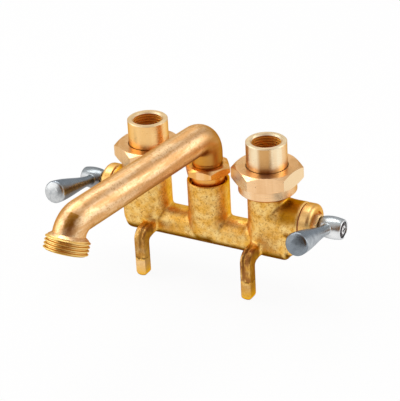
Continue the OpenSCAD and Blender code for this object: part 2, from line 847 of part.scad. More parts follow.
module lever_solid() {
    steps = 12;
    dome = 1.6;
    start = hub_d / 2;
    flare = lever_length - dome - start;
    rotate_extrude() polygon(concat(
        [[0, 0], [lever_neck_d / 2, 0]],
        [for (i = [0 : steps]) [lever_radius(i / steps), start + flare * i / steps]],
        [for (a = [30 : 30 : 90]) [lever_end_d / 2 * cos(a), lever_length - dome + dome * sin(a)]]
    ));
}

module handle(side) {
    color(zinc) on_valve(side) difference() {
        union() {
            hub_solid();
            translate([lever_v, 0, 0]) rotate([90 - lever_tilt, 0, 0]) lever_solid();
        }
        bar_x(stem_d + 2 * run_gap, hub_v - overlap, socket_end_v);
        bar_x(recess_d, recess_v, hub_end_v + overlap);
        bar_x(handle_shank_d + 2 * thread_gap, hub_v, hub_end_v);
    }
}

module handle_screw(side) {
    crown = 1.1;
    slot = 1.2;
    reach = handle_screw_d / 4;
    low = socket_end_v - handle_shank + end_gap;
    color(steel) on_valve(side) difference() {
        turned(concat(
            [[0, low], [handle_shank_d / 2, low], [handle_shank_d / 2, recess_v]],
            [[handle_screw_d / 2, recess_v]],
            [for (a = [0 : 15 : 90])
                [handle_screw_d / 2 * cos(a), hub_end_v - crown + crown * sin(a)]]
        ));
        for (a = [0, 90])
            rotate([a, 0, 0]) translate([hub_end_v - crown, -reach, -slot / 2])
                cube([2 * crown, 2 * reach, slot]);
    }
}

body();
tailpiece(-1);  // left_tailpiece
tailpiece(1);  // right_tailpiece
union_nut(-1);  // left_union_nut
union_nut(1);  // right_union_nut
union_washer_ring(-1);  // left_union_washer
union_washer_ring(1);  // right_union_washer
spout();
spout_gland_nut();
spout_o_rings();
spout_retaining_ring();
valve_seat(-1);  // left_valve_seat
valve_seat(1);  // right_valve_seat
seat_washer_disc(-1);  // left_seat_washer
seat_washer_disc(1);  // right_seat_washer
washer_screw(-1);  // left_washer_screw
washer_screw(1);  // right_washer_screw
stem(-1);  // left_stem
stem(1);  // right_stem
bonnet(-1);  // left_bonnet
bonnet(1);  // right_bonnet
bonnet_gasket_ring(-1);  // left_bonnet_gasket
bonnet_gasket_ring(1);  // right_bonnet_gasket
packing_ring(-1);  // left_packing_ring
packing_ring(1);  // right_packing_ring
packing_nut(-1);  // left_packing_nut
packing_nut(1);  // right_packing_nut
handle(-1);  // left_handle
handle(1);  // right_handle
handle_screw(-1);  // left_handle_screw
handle_screw(1);  // right_handle_screw
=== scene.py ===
"""Looks of the utility sink faucet: cast, tumbled and machined brass with dull chrome levers."""
import json
import math

import bpy
import numpy as np
from mathutils import Matrix, Vector


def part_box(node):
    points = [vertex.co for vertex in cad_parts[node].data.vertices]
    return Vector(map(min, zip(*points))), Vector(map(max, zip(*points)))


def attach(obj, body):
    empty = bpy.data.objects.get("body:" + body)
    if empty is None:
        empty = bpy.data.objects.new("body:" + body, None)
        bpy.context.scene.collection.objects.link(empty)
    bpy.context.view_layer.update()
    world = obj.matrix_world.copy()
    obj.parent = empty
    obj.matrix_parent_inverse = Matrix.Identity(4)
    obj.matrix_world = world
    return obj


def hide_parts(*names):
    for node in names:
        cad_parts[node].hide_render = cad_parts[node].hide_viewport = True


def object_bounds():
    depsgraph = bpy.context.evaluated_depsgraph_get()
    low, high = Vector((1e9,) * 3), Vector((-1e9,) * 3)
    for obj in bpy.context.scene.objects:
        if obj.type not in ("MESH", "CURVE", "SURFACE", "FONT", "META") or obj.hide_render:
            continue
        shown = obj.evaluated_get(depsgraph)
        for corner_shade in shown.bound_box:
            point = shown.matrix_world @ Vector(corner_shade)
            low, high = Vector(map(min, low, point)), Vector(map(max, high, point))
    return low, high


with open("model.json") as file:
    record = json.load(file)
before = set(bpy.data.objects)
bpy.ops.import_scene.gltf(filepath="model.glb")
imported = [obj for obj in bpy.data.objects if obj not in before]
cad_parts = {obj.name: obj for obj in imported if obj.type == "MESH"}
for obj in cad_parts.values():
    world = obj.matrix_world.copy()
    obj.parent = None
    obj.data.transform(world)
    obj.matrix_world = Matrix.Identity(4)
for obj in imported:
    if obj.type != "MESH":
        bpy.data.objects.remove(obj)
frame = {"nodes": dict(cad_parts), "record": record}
nodes = frame["nodes"]
cad_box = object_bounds()
MM = 0.001
SIDES = ("left", "right")
UP = Vector((0.0, 0.0, 1.0))
DOWN = Vector((0.0, 0.0, -1.0))
FRONT = Vector((0.0, -1.0, 0.0))
RIGHT = Vector((1.0, 0.0, 0.0))

# Camera fitted to the photograph, which is 400 pixels wide
CAMERA_AZIMUTH = math.radians(29.85)
CAMERA_ELEVATION = math.radians(27.77)
CAMERA_ROLL = math.radians(-3.14)
CAMERA_DISTANCE = 1.1
CAMERA_TARGET = Vector((-0.00704, 0.0, 0.02808))
FOCAL_PIXELS = 1688.1
IMAGE_WIDTH = 400
SENSOR_WIDTH = 36.0

# Studio
FLOOR_SIZE = 12.0
FLOOR_GREY = 0.90
FLOOR_WHITE = 0.93
ROOM_LIGHT = (0.72, 0.72, 0.72)
ROOM_GREY = (0.10, 0.10, 0.10)
ROOM_BROWN = (0.18, 0.07, 0.008)
ROOM_TAN = (0.30, 0.16, 0.06)
FRONT_GAP = Vector((-0.44, -0.90, 0.05))
BACK_GAP = Vector((0.39, 0.66, 0.64))
LAMP_AIM = Vector((0.0, -0.02, 0.03))

# Zones of the casting that have their own marks or stay crisp
LEG_ZONE = 11.5 * MM
LEG_START = 14 * MM
GROUND_HEIGHT = 15 * MM
BOSS_RING = 1.2 * MM
BOSS_RIM = 4.5 * MM
TOWER_ZONE = 20 * MM
GLAND_THREAD = 8 * MM

# Zones of the spout
SPOUT_END = 20 * MM
ELBOW_ZONE = 24 * MM
BEND_ZONE = 40 * MM
PATCH_START = 9.2 * MM

# Sizes and zones of the turned pieces and the levers
GLAND_HEXAGON = 6.4 * MM
UNION_SKIRT = 6.8 * MM
TAIL_THREAD_RADIUS = 10.4 * MM
TAIL_RIM = 1.6 * MM
HUB_ROOT = 13 * MM
GRIP_START = 7 * MM
RECESS_RADIUS = 5.3 * MM
RECESS_ZONE = 4 * MM

# Skins with softened corners
BODY_VOXEL = 0.6 * MM
BODY_PASSES = 40
LEVER_VOXEL = 0.35 * MM
LEVER_PASSES = 14
SMOOTH_FACTOR = 0.5

# Tints of the metals' reflections at grazing angles
WHITE = (1.0, 1.0, 1.0)
BRASS_RIM = (0.62, 0.36, 0.11)
CAST_RIM = (0.85, 0.55, 0.20)
CHROME_RIM = (0.55, 0.56, 0.58)

# Roughness of turned brass: the least of each kind, what its rings add and what a matt bore adds
TURNED_SMOOTH = 0.26
VALVE_SMOOTH = 0.335
PACKING_SMOOTH = 0.51
RING_ROUGHNESS = 0.12
MATT = 0.25

# Tones of the casting
CAST_TONES = {
    "deep_gold": (0.88, 0.48, 0.085),
    "pale_gold": (1.0, 0.71, 0.27),
    "dark_grain": (0.52, 0.21, 0.018),
    "pale_grain": (1.0, 0.76, 0.36),
    "speckle": (0.58, 0.25, 0.025),
    "pit": (0.26, 0.09, 0.008),
    "wide_corner_shade": (0.93, 0.49, 0.008),
    "tight_corner_shade": (0.44, 0.18, 0.008),
    "boss_top_shade": (0.50, 0.205, 0.002),
    "underside": (0.12, 0.04, 0.006),
    "boss_ring_highlight": (1.0, 0.68, 0.26),
}
LEG_TONES = {
    "brown": (0.34, 0.125, 0.035),
    "flank_shading": (0.30, 0.13, 0.025),
    "left_tip": (0.99, 0.68, 0.38),
    "right_tip": (0.56, 0.28, 0.095),
    "groove": (0.13, 0.045, 0.008),
    "mark": (0.13, 0.05, 0.015),
}

# Tones of the spout
SPOUT_TONES = {
    "brown_streak": (0.80, 0.46, 0.20),
    "pink_gold": (1.0, 0.70, 0.40),
    "blotch": (0.66, 0.36, 0.125),
    "speckle": (0.62, 0.33, 0.13),
    "pit": (0.30, 0.13, 0.03),
    "elbow_foot_shade": (0.66, 0.285, 0.025),
    "elbow_right_shade": (0.48, 0.22, 0.05),
    "bend_dark_reflection": (0.40, 0.17, 0.02),
    "bend_left_shade": (0.72, 0.37, 0.125),
    "thread": (1.0, 0.73, 0.28),
    "thread_front_reflection": (1.0, 0.58, 0.10),
    "corner_shade": (0.98, 0.50, 0.07),
    "underside": (0.36, 0.15, 0.03),
}

# Tones of the turned brass
TURNED_SPECK = (0.34, 0.14, 0.03)
UNION_TONES = {
    "light": (0.97, 0.63, 0.34),
    "dark": (0.88, 0.53, 0.26),
    "corner_shade": (0.80, 0.45, 0.16),
    "side_flat_highlight": (1.0, 0.82, 0.55),
    "left_flat_highlight": (1.0, 0.94, 0.74),
}
TAIL_TONES = {
    "light": (1.0, 0.84, 0.57),
    "dark": (0.95, 0.66, 0.37),
    "corner_shade": (0.62, 0.19, 0.01),
    "left_piece_reflection": (1.0, 0.57, 0.16),
    "band_foot_reflection": (0.36, 0.15, 0.025),
    "band_top_reflection": (0.62, 0.31, 0.085),
    "rim": (1.0, 0.87, 0.62),
    "bore": (1.0, 0.58, 0.11),
}
GLAND_TONES = {
    "light": (0.98, 0.58, 0.25),
    "dark": (0.86, 0.42, 0.11),
    "corner_shade": (0.62, 0.21, 0.012),
    "right_flat_reflection": (1.0, 0.50, 0.06),
    "neck": (0.84, 0.37, 0.06),
}
VALVE_TONES = {"light": (0.98, 0.63, 0.25), "dark": (0.86, 0.49, 0.15), "corner_shade": (0.95, 0.52, 0.12)}
PACKING_LIT_TONES = {"light": (1.0, 0.82, 0.48), "dark": (1.0, 0.72, 0.36), "corner_shade": (0.95, 0.55, 0.15)}

# Painted light and shade of each lever: the left one is darker at its hub and on its grip's right side, and
# paler at its grip's end
CHROME_TONES = {
    "grip": (0.29, 0.33, 0.37),
    "worn": (0.17, 0.19, 0.21),
    "hub_top_shade": (0.31, 0.35, 0.37),
    "recess": (0.03, 0.025, 0.025),
    "corner_shade": (0.06, 0.05, 0.05),
}
HUB_SHADE = 0.62
LEVER_LIT_TONES = {
    "left": {"hub": (0.40, 0.40, 0.40), "flank_shading": (0.23, 0.20, 0.18), "end": (0.60, 0.61, 0.61)},
    "right": {"hub": (0.84, 0.85, 0.85), "flank_shading": (0.64, 0.67, 0.69), "end": (0.25, 0.28, 0.31)},
}

# Tones of the steel and the seals
STEEL_CORNER_SHADE = (0.12, 0.10, 0.09)
SCREW_RIM_SHADE = (0.04, 0.03, 0.03)
RING_TONES = {"light": (0.86, 0.86, 0.86), "dark": (0.70, 0.69, 0.68)}
SCREW_TONES = {"light": (0.92, 0.92, 0.92), "dark": (0.78, 0.77, 0.76)}
RUBBER_TONES = {"light": (0.05, 0.05, 0.05), "dark": (0.02, 0.02, 0.02)}
FIBRE_TONES = {"light": (0.46, 0.22, 0.15), "dark": (0.30, 0.13, 0.09)}

# Ways that some surfaces face, where reflections, highlights and shade are painted
TAIL_FRONT = Vector((0.34, -0.94, 0.0))
UNION_LEFT_FLAT = Vector((-0.50, -0.87, 0.0))
THREAD_FRONT = Vector((0.25, -0.97, 0.0))
BEND_LEFT = Vector((-0.85, -0.35, 0.40))

# Places of the colour sockets on a Mix node
MIX_FIRST = 6
MIX_SECOND = 7
MIX_RESULT = 2


def camera_back():
    """Direction from the object to the camera."""
    flat = math.cos(CAMERA_ELEVATION)
    return Vector((
        math.sin(CAMERA_AZIMUTH) * flat,
        -math.cos(CAMERA_AZIMUTH) * flat,
        math.sin(CAMERA_ELEVATION),
    ))


def add_camera():
    data = bpy.data.cameras.new("camera")
    data.sensor_fit = "HORIZONTAL"
    data.sensor_width = SENSOR_WIDTH
    data.lens = FOCAL_PIXELS * SENSOR_WIDTH / IMAGE_WIDTH
    camera = bpy.data.objects.new("camera", data)
    bpy.context.scene.collection.objects.link(camera)
    back = camera_back()
    level_right = Vector((math.cos(CAMERA_AZIMUTH), math.sin(CAMERA_AZIMUTH), 0.0))
    level_up = back.cross(level_right)
    right = level_right * math.cos(CAMERA_ROLL) + level_up * math.sin(CAMERA_ROLL)
    up = back.cross(right)
    turn = Matrix((right, up, back)).transposed().to_4x4()
    camera.matrix_world = Matrix.Translation(CAMERA_TARGET + back * CAMERA_DISTANCE) @ turn
    bpy.context.scene.camera = camera


def opaque(colour):
    """A colour with full alpha, or the socket that it comes from."""
    return colour if isinstance(colour, bpy.types.NodeSocket) else (*colour, 1.0)


class NodeTree:
    """A node tree, with short calls for the nodes that are used here."""

    def __init__(self, tree):
        self.tree = tree

    def add(self, kind, inputs=None, **settings):
        """A new node with its settings. Each of its inputs takes a plain value or another node's socket."""
        node = self.tree.nodes.new(kind)
        for key, value in settings.items():
            setattr(node, key, value)
        for key, value in (inputs or {}).items():
            self.fill(node.inputs[key], value)
        return node

    def link(self, source, target):
        self.tree.links.new(source, target)

    def fill(self, socket, value):
        if isinstance(value, bpy.types.NodeSocket):
            self.link(value, socket)
        else:
            socket.default_value = value

    def math(self, operation, first, second=0.0):
        return self.add("ShaderNodeMath", {0: first, 1: second}, operation=operation).outputs["Value"]

    def absolute(self, value):
        return self.math("ABSOLUTE", value)

    def product(self, first, *others):
        for factor in others:
            first = self.math("MULTIPLY", first, factor)
        return first

    def dot(self, vector, direction):
        node = self.add("ShaderNodeVectorMath", {0: vector, 1: direction}, operation="DOT_PRODUCT")
        return node.outputs["Value"]

    def remap(self, value, low, high, to_low, to_high):
        """Goes smoothly from to_low, where value is at most low, to to_high, where it is at least high."""
        ends = {"From Min": low, "From Max": high, "To Min": to_low, "To Max": to_high}
        node = self.add("ShaderNodeMapRange", {"Value": value, **ends}, interpolation_type="SMOOTHSTEP")
        return node.outputs["Result"]

    def rise(self, value, low, high, top=1.0):
        """Goes smoothly from 0 at low to top at high."""
        return self.remap(value, low, high, 0.0, top)

    def fall(self, value, low, high, top=1.0):
        """Goes smoothly from top at low to 0 at high."""
        return self.remap(value, low, high, top, 0.0)

    def mix(self, factor, first, second):
        """The colour first where factor is 0, and second where it is 1."""
        inputs = {"Factor": factor, MIX_FIRST: opaque(first), MIX_SECOND: opaque(second)}
        return self.add("ShaderNodeMix", inputs, data_type="RGBA").outputs[MIX_RESULT]

    def stain(self, colour, tone, *shares):
        """Takes colour towards tone, as far as the product of the shares."""
        return self.mix(self.product(*shares), colour, tone)


class Surface(NodeTree):
    """The node tree of a new material, round its Principled shader."""

    def __init__(self, name):
        self.material = bpy.data.materials.new(name)
        self.material.use_nodes = True
        super().__init__(self.material.node_tree)
        self.shader = self.tree.nodes["Principled BSDF"]

    def place(self, scale=(1.0, 1.0, 1.0), turn_z=0.0):
        """Object coordinates, in metres, turned about Z and then scaled."""
        start = self.add("ShaderNodeTexCoord").outputs["Object"]
        turned_place = self.add("ShaderNodeMapping", {"Vector": start, "Rotation": (0.0, 0.0, turn_z)})
        scaled = self.add("ShaderNodeMapping", {"Vector": turned_place.outputs["Vector"], "Scale": scale})
        return scaled.outputs["Vector"]

    def axis(self, name):
        """One of the object coordinates, in metres."""
        return self.add("ShaderNodeSeparateXYZ", {"Vector": self.place()}).outputs[name]

    def along(self, direction, start):
        """Metres past the point start, measured along a direction."""
        return self.math("SUBTRACT", self.dot(self.place(), direction), start.dot(direction))

    def toward(self, direction):
        """Cosine of the angle between the way the surface faces and a direction."""
        normal = self.add("ShaderNodeTexCoord").outputs["Normal"]
        return self.dot(normal, direction.normalized())

    def facing_down(self):
        """1 on undersides, 0 on walls and tops. It masks the shade that is painted underneath."""
        return self.rise(self.toward(DOWN), 0.18, 0.60)

    def length(self, first, second):
        """Length of the line that goes first one way and second square to it."""
        join = self.add("ShaderNodeCombineXYZ", {0: first, 1: second})
        node = self.add("ShaderNodeVectorMath", {0: join.outputs["Vector"]}, operation="LENGTH")
        return node.outputs["Value"]

    def near(self, value, middle, half_width, fade):
        """1 where a coordinate is within half_width of middle, fading to 0 beyond."""
        away = self.absolute(self.math("SUBTRACT", value, middle))
        return self.fall(away, half_width, half_width + fade)

    def noise(self, size, place=None, detail=4.0, roughness=0.6):
        """Noise whose blotches are about size metres across."""
        inputs = {"Scale": 1.0 / size, "Detail": detail, "Roughness": roughness}
        node = self.add("ShaderNodeTexNoise", {"Vector": place or self.place(), **inputs})
        return node.outputs["Fac"]

    def spread(self, noise, low, high):
        """Noise spread from low to high, as a roughness is."""
        return self.remap(noise, 0.3, 0.7, low, high)

    def ragged(self, value, size, amount, place=None):
        """A coordinate with noise added: at most amount, in blotches about size metres across."""
        return self.math("ADD", value, self.product(self.noise(size, place), amount))

    def pits(self, size, limits, patch_size, patch_limits, detail=3.0):
        """1 in small pits, which lie together in patches. The limits are those of the noise."""
        pit = self.rise(self.noise(size, detail=detail), *limits)
        patch = self.rise(self.noise(patch_size, detail=2.0), *patch_limits)
        return self.product(pit, patch)

    def crevice(self, distance, deep, shallow):
        """Ambient occlusion, used to paint shade: 0 in the open and 1 deep in a hollow, felt over distance
        metres.
        """
        node = self.add("ShaderNodeAmbientOcclusion", {"Distance": distance}, samples=8)
        return self.fall(node.outputs["AO"], deep, shallow)

    def bump(self, height, depth, strength, normal=None):
        node = self.add("ShaderNodeBump", {"Height": height, "Distance": depth, "Strength": strength})
        if normal is not None:
            self.link(normal, node.inputs["Normal"])
        return node.outputs["Normal"]

    def finish(self, colour, roughness, normal, metallic=1.0, rim=WHITE):
        """The material. rim is the tint of a metal's reflections at grazing angles."""
        self.shader.inputs["Metallic"].default_value = metallic
        self.shader.inputs["Specular Tint"].default_value = opaque(rim)
        self.link(colour, self.shader.inputs["Base Color"])
        self.link(roughness, self.shader.inputs["Roughness"])
        self.link(normal, self.shader.inputs["Normal"])
        return self.material


def mesh_points(mesh):
    points = np.empty(len(mesh.vertices) * 3)
    mesh.vertices.foreach_get("co", points)
    return points.reshape(-1, 3)


def leg_places():
    """Half the distance between the legs, and the levels of their front and their tips."""
    points = mesh_points(nodes["body"].data)
    front = points[:, 1].min()
    faces = points[points[:, 1] < front + 1 * MM]
    return float(np.abs(faces[:, 0]).mean()), float(front), float(points[:, 2].min())


def leg_colour(tree, colour, leg, above, height):
    """The legs: brown above their ground tips, which are paler on the left, with painted shade on the
    flanks.
    """
    half_spacing, _, tip = leg_places()
    grain = tree.noise(2 * MM, tree.place((1.0, 0.4, 0.2)))
    rough = tree.remap(grain, 0.36, 0.54, 0.25, 1.0)
    by_side = tree.remap(tree.axis("X"), -half_spacing, half_spacing, 0.6, 0.9)
    colour = tree.stain(colour, LEG_TONES["brown"], leg, above, rough, by_side)
    to_right = tree.rise(tree.axis("X"), -half_spacing, half_spacing)
    tip_tone = tree.mix(to_right, LEG_TONES["left_tip"], LEG_TONES["right_tip"])
    ground = tree.fall(height, tip + GROUND_HEIGHT - 2 * MM, tip + GROUND_HEIGHT, 0.6)
    colour = tree.stain(colour, tip_tone, leg, ground)
    # Painted shade on the flanks, which face left and right
    flank_shading = tree.rise(tree.absolute(tree.toward(RIGHT)), 0.55, 0.85)
    return tree.stain(colour, LEG_TONES["flank_shading"], leg, flank_shading, 0.7)


def leg_cuts(tree, leg, above, height):
    """A groove over the bend of each leg, and a mark where its ground tip begins."""
    half_spacing, _, tip = leg_places()
    across = tree.absolute(tree.axis("X"))
    across = tree.ragged(across, 2.2 * MM, 2.4 * MM, tree.place((1.0, 0.5, 0.4)))
    groove = tree.near(across, half_spacing + 0.2 * MM, 0.3 * MM, 1.1 * MM)
    deeper_up = tree.remap(tree.axis("Z"), -5 * MM, 4 * MM, 0.15, 1.0)
    mark = tree.near(height, tip + GROUND_HEIGHT + 0.6 * MM, 0.1 * MM, 0.8 * MM)
    broken = tree.rise(tree.noise(1.8 * MM, detail=2.0), 0.40, 0.55)
    return tree.product(groove, deeper_up, leg, above), tree.product(mark, leg, broken)


def leg_marks(tree, colour):
    """Colour of the legs in front of the valve blocks, and 1 where they are cut in."""
    _, front, tip = leg_places()
    height = tree.ragged(tree.axis("Z"), 3 * MM, 5 * MM)
    leg = tree.fall(tree.axis("Y"), front + LEG_ZONE, front + LEG_ZONE + 2.5 * MM)
    above = tree.rise(height, tip + GROUND_HEIGHT, tip + GROUND_HEIGHT + 1.5 * MM)
    colour = leg_colour(tree, colour, leg, above, height)
    groove, mark = leg_cuts(tree, leg, above, height)
    # Painted shade darkens the groove
    colour = tree.stain(colour, LEG_TONES["groove"], groove, 0.7)
    colour = tree.stain(colour, LEG_TONES["mark"], mark, 0.8)
    return colour, tree.math("MAXIMUM", groove, mark)


def boss_top_shade_mask(tree):
    """1 on top of the valve bosses, between the union nut above and the bonnet, where shade is painted."""
    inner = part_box("right_tailpiece")[1].x
    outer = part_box("body")[1].x
    across = tree.absolute(tree.axis("X"))
    past_nut = tree.rise(tree.ragged(across, 4 * MM, 6 * MM), inner - 4 * MM, inner + 4 * MM)
    before_end = tree.remap(across, outer - 3 * MM, outer, 1.0, 0.2)
    on_top = tree.rise(tree.toward(UP + FRONT * 0.3), 0.25, 0.75)
    return tree.product(past_nut, before_end, on_top)


def boss_ring_highlight(tree):
    """1 on the machined ring at the end of each valve boss, painted brighter as a highlight on its edge."""
    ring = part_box("body")[1].x - BOSS_RING
    return tree.rise(tree.absolute(tree.axis("X")), ring, ring + 0.4 * MM)


def cast_mottle(tree, grain):
    """Gold in soft blotches, with dark and pale grains and brown speckles."""
    blotch = tree.noise(6 * MM)
    colour = tree.mix(tree.rise(blotch, 0.36, 0.66), CAST_TONES["deep_gold"], CAST_TONES["pale_gold"])
    colour = tree.stain(colour, CAST_TONES["dark_grain"], tree.rise(grain, 0.50, 0.62, 0.75))
    colour = tree.stain(colour, CAST_TONES["pale_grain"], tree.fall(grain, 0.32, 0.45, 0.65))
    speckle = tree.noise(2.4 * MM, roughness=0.7)
    return tree.stain(colour, CAST_TONES["speckle"], tree.rise(speckle, 0.53, 0.62, 0.5))


def cast_painted_shade(tree, colour):
    """Painted shade: orange in wide corners, dark on top of the bosses, brown in tight corners and dark
    undersides.
    """
    # Painted shade: ambient occlusion tints wide hollows orange, less on sides that face left
    to_right = tree.remap(tree.toward(RIGHT), -0.7, 0.1, 0.3, 1.0)
    wide = tree.crevice(20 * MM, 0.40, 0.82)
    colour = tree.stain(colour, CAST_TONES["wide_corner_shade"], wide, to_right)
    # Painted shade on top of the bosses
    colour = tree.stain(colour, CAST_TONES["boss_top_shade"], boss_top_shade_mask(tree), 0.9)
    # Painted shade in tight corners
    colour = tree.stain(colour, CAST_TONES["tight_corner_shade"], tree.crevice(4 * MM, 0.10, 0.60), 0.6)
    # Painted shade on the undersides
    return tree.stain(colour, CAST_TONES["underside"], tree.facing_down())


def cast_brass():
    """Sand-cast brass: mottled gold with a coarse grain and pits, painted shade in its corners and
    underneath, and a painted highlight on the bosses' rings.
    """
    tree = Surface("cast_brass")
    grain = tree.noise(1.5 * MM, detail=6.0, roughness=0.75)
    pits = tree.pits(1 * MM, (0.60, 0.68), 7 * MM, (0.50, 0.60))
    colour = cast_mottle(tree, grain)
    colour = tree.stain(colour, CAST_TONES["pit"], pits, 0.7)
    colour, cuts = leg_marks(tree, colour)
    colour = cast_painted_shade(tree, colour)
    # Machined brass, painted brighter as a highlight on the ring's edge
    colour = tree.stain(colour, CAST_TONES["boss_ring_highlight"], boss_ring_highlight(tree), 0.8)
    uncut = tree.math("SUBTRACT", 1.0, tree.math("MAXIMUM", pits, cuts))
    normal = tree.bump(tree.noise(0.8 * MM, roughness=0.7), 0.16 * MM, 0.7)
    normal = tree.bump(tree.noise(5 * MM, detail=2.0), 0.5 * MM, 0.5, normal)
    normal = tree.bump(uncut, 0.25 * MM, 0.7, normal)
    return tree.finish(colour, tree.spread(grain, 0.34, 0.50), normal, rim=CAST_RIM)


def spout_angle():
    """Turn of the spout from straight ahead, from the middle of its far end."""
    points = mesh_points(nodes["spout"].data)
    far = points[points[:, 1] < points[:, 1].min() + SPOUT_END].mean(axis=0)
    return math.atan2(-far[0], -far[1])


def run_end():
    """Distance from the swivel axis to where the run of the spout bends down."""
    points = mesh_points(nodes["spout"].data)
    ridge = points[points[:, 2] > points[:, 2].max() - 0.05 * MM]
    return float(np.hypot(ridge[:, 0], ridge[:, 1]).max())


def spout_mottle(tree, streak, blotch):
    """Pink gold with brown streaks along the run, blotches, speckles and a few pits."""
    clean = tree.rise(streak, 0.40, 0.60)
    colour = tree.mix(clean, SPOUT_TONES["brown_streak"], SPOUT_TONES["pink_gold"])
    colour = tree.stain(colour, SPOUT_TONES["blotch"], tree.rise(blotch, 0.50, 0.68, 0.5))
    speckle = tree.noise(1.5 * MM, detail=5.0, roughness=0.75)
    colour = tree.stain(colour, SPOUT_TONES["speckle"], tree.rise(speckle, 0.50, 0.62, 0.5))
    pits = tree.pits(1.2 * MM, (0.62, 0.70), 9 * MM, (0.52, 0.60))
    return tree.stain(colour, SPOUT_TONES["pit"], pits, 0.6)


def elbow_shade(tree, colour):
    """Painted shade on the elbow: orange brown above the gland nut, and darker to the right of the swivel's
    axis.
    """
    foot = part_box("spout")[1].z - ELBOW_ZONE
    from_axis = tree.length(tree.axis("X"), tree.axis("Y"))
    low = tree.fall(tree.axis("Z"), foot, foot + 14 * MM)
    inner = tree.fall(from_axis, 12 * MM, 22 * MM)
    colour = tree.stain(colour, SPOUT_TONES["elbow_foot_shade"], inner, low, 0.9)
    right = tree.rise(tree.axis("X"), 0.0, 9 * MM)
    wider = tree.fall(from_axis, 14 * MM, 26 * MM)
    return tree.stain(colour, SPOUT_TONES["elbow_right_shade"], wider, right, 0.75)


def bend_dark_reflection(tree, turn, past_thread):
    """1 on the painted dark reflection on the bend's right shoulder, from a straight edge nearly down to
    the thread.
    """
    ahead = Vector((-math.sin(turn), -math.cos(turn), 0.0))
    aside = Vector((math.cos(turn), -math.sin(turn), 0.0))
    crown = ahead * run_end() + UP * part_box("spout")[1].z
    down_the_bend = ahead * 0.77 + DOWN * 0.64
    past_crown = tree.along(down_the_bend, crown)
    shoulder = tree.near(tree.ragged(tree.toward(aside), 2 * MM, 0.16), 0.50, 0.19, 0.12)
    upward = tree.rise(tree.toward(UP), 0.0, 0.2)
    begun = tree.rise(past_crown, PATCH_START, PATCH_START + 0.6 * MM)
    above_thread = tree.fall(past_thread, -10 * MM, -3 * MM)
    return tree.product(shoulder, upward, begun, above_thread)


def bend_shading(tree, colour, turn, blotch, past_thread):
    """Painted light and shade on the bend: a dark reflection on its right shoulder, and painted shade on
    its brown left side.
    """
    bend_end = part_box("spout")[0].y + BEND_ZONE
    patchy = tree.remap(blotch, 0.35, 0.60, 0.65, 1.0)
    colour = tree.stain(colour, SPOUT_TONES["bend_dark_reflection"], bend_dark_reflection(tree, turn, past_thread), patchy)
    left = tree.rise(tree.toward(BEND_LEFT), 0.60, 0.95)
    on_bend = tree.fall(tree.axis("Y"), bend_end - 10 * MM, bend_end, 0.85)
    return tree.stain(colour, SPOUT_TONES["bend_left_shade"], left, on_bend)


def thread_colour(tree, colour, past_thread):
    """The hose thread: bright where it was cut, and warmer in front, where an orange reflection is painted.
    """
    cut = tree.rise(past_thread, -1.5 * MM, -0.5 * MM)
    colour = tree.stain(colour, SPOUT_TONES["thread"], cut)
    front = tree.rise(tree.toward(THREAD_FRONT), 0.75, 0.97, 0.7)
    return tree.stain(colour, SPOUT_TONES["thread_front_reflection"], cut, front)


def along_outlet(tree):
    """Metres past the start of the hose thread."""
    hose = next(mount for mount in frame["record"]["mounts"] if mount["name"] == "hose_outlet")
    axis = Vector(hose["axis"])
    half_length = hose["dims"]["length_mm"] / 2 * MM
    return tree.along(axis, Vector(hose["pos_m"]) - axis * half_length)


def spout_brass():
    """Tumbled brass: soft pink gold, with painted shade and reflections at the elbow and the bend, and a
    bright hose thread.
    """
    tree = Surface("spout_brass")
    turn = spout_angle()
    past_thread = along_outlet(tree)
    streak = tree.noise(4.5 * MM, tree.place((1.0, 0.16, 1.0), turn), detail=5.0)
    blotch = tree.noise(3 * MM, detail=5.0, roughness=0.7)
    colour = spout_mottle(tree, streak, blotch)
    colour = elbow_shade(tree, colour)
    colour = bend_shading(tree, colour, turn, blotch, past_thread)
    colour = thread_colour(tree, colour, past_thread)
    # Painted shade in the spout's hollows
    colour = tree.stain(colour, SPOUT_TONES["corner_shade"], tree.crevice(2 * MM, 0.15, 0.70))
    # Painted shade on the undersides
    colour = tree.stain(colour, SPOUT_TONES["underside"], tree.facing_down(), 0.6)
    fine = tree.noise(0.6 * MM, tree.place((1.0, 0.2, 1.0), turn), detail=3.0)
    wave = tree.noise(6 * MM, tree.place((1.0, 0.25, 1.0), turn), detail=2.0)
    normal = tree.bump(wave, 0.4 * MM, 0.3, tree.bump(fine, 0.03 * MM, 0.5))
    return tree.finish(colour, tree.spread(streak, 0.46, 0.36), normal, rim=BRASS_RIM)


def turned(tree, tones, ring_axis):
    """Colour of turned brass, and the cutter's fine rings, which lie square to ring_axis, X or Z."""
    rings_place = (1.0, 0.03, 0.03) if ring_axis == "X" else (0.03, 0.03, 1.0)
    tone_place = (0.05, 1.0, 1.0) if ring_axis == "X" else (1.0, 1.0, 0.05)
    rings = tree.noise(0.35 * MM, tree.place(rings_place), detail=2.0)
    tone = tree.noise(8 * MM, tree.place(tone_place))
    colour = tree.mix(tree.rise(tone, 0.40, 0.62), tones["dark"], tones["light"])
    specks = tree.pits(1.2 * MM, (0.64, 0.70), 6 * MM, (0.54, 0.60), detail=2.0)
    return tree.stain(colour, TURNED_SPECK, specks, 0.7), rings


def finish_turned(tree, tones, colour, rings, corner_shade, smooth=TURNED_SMOOTH, matt=None):
    """Painted shade in hollows takes its own tone, felt over corner_shade metres. matt is 1 where the
    surface is rougher.
    """
    colour = tree.stain(colour, tones["corner_shade"], tree.crevice(corner_shade, 0.20, 0.80))
    roughness = tree.spread(rings, smooth, smooth + RING_ROUGHNESS)
    if matt is not None:
        roughness = tree.math("ADD", roughness, tree.product(matt, MATT))
    return tree.finish(colour, roughness, tree.bump(rings, 0.02 * MM, 0.5), rim=BRASS_RIM)


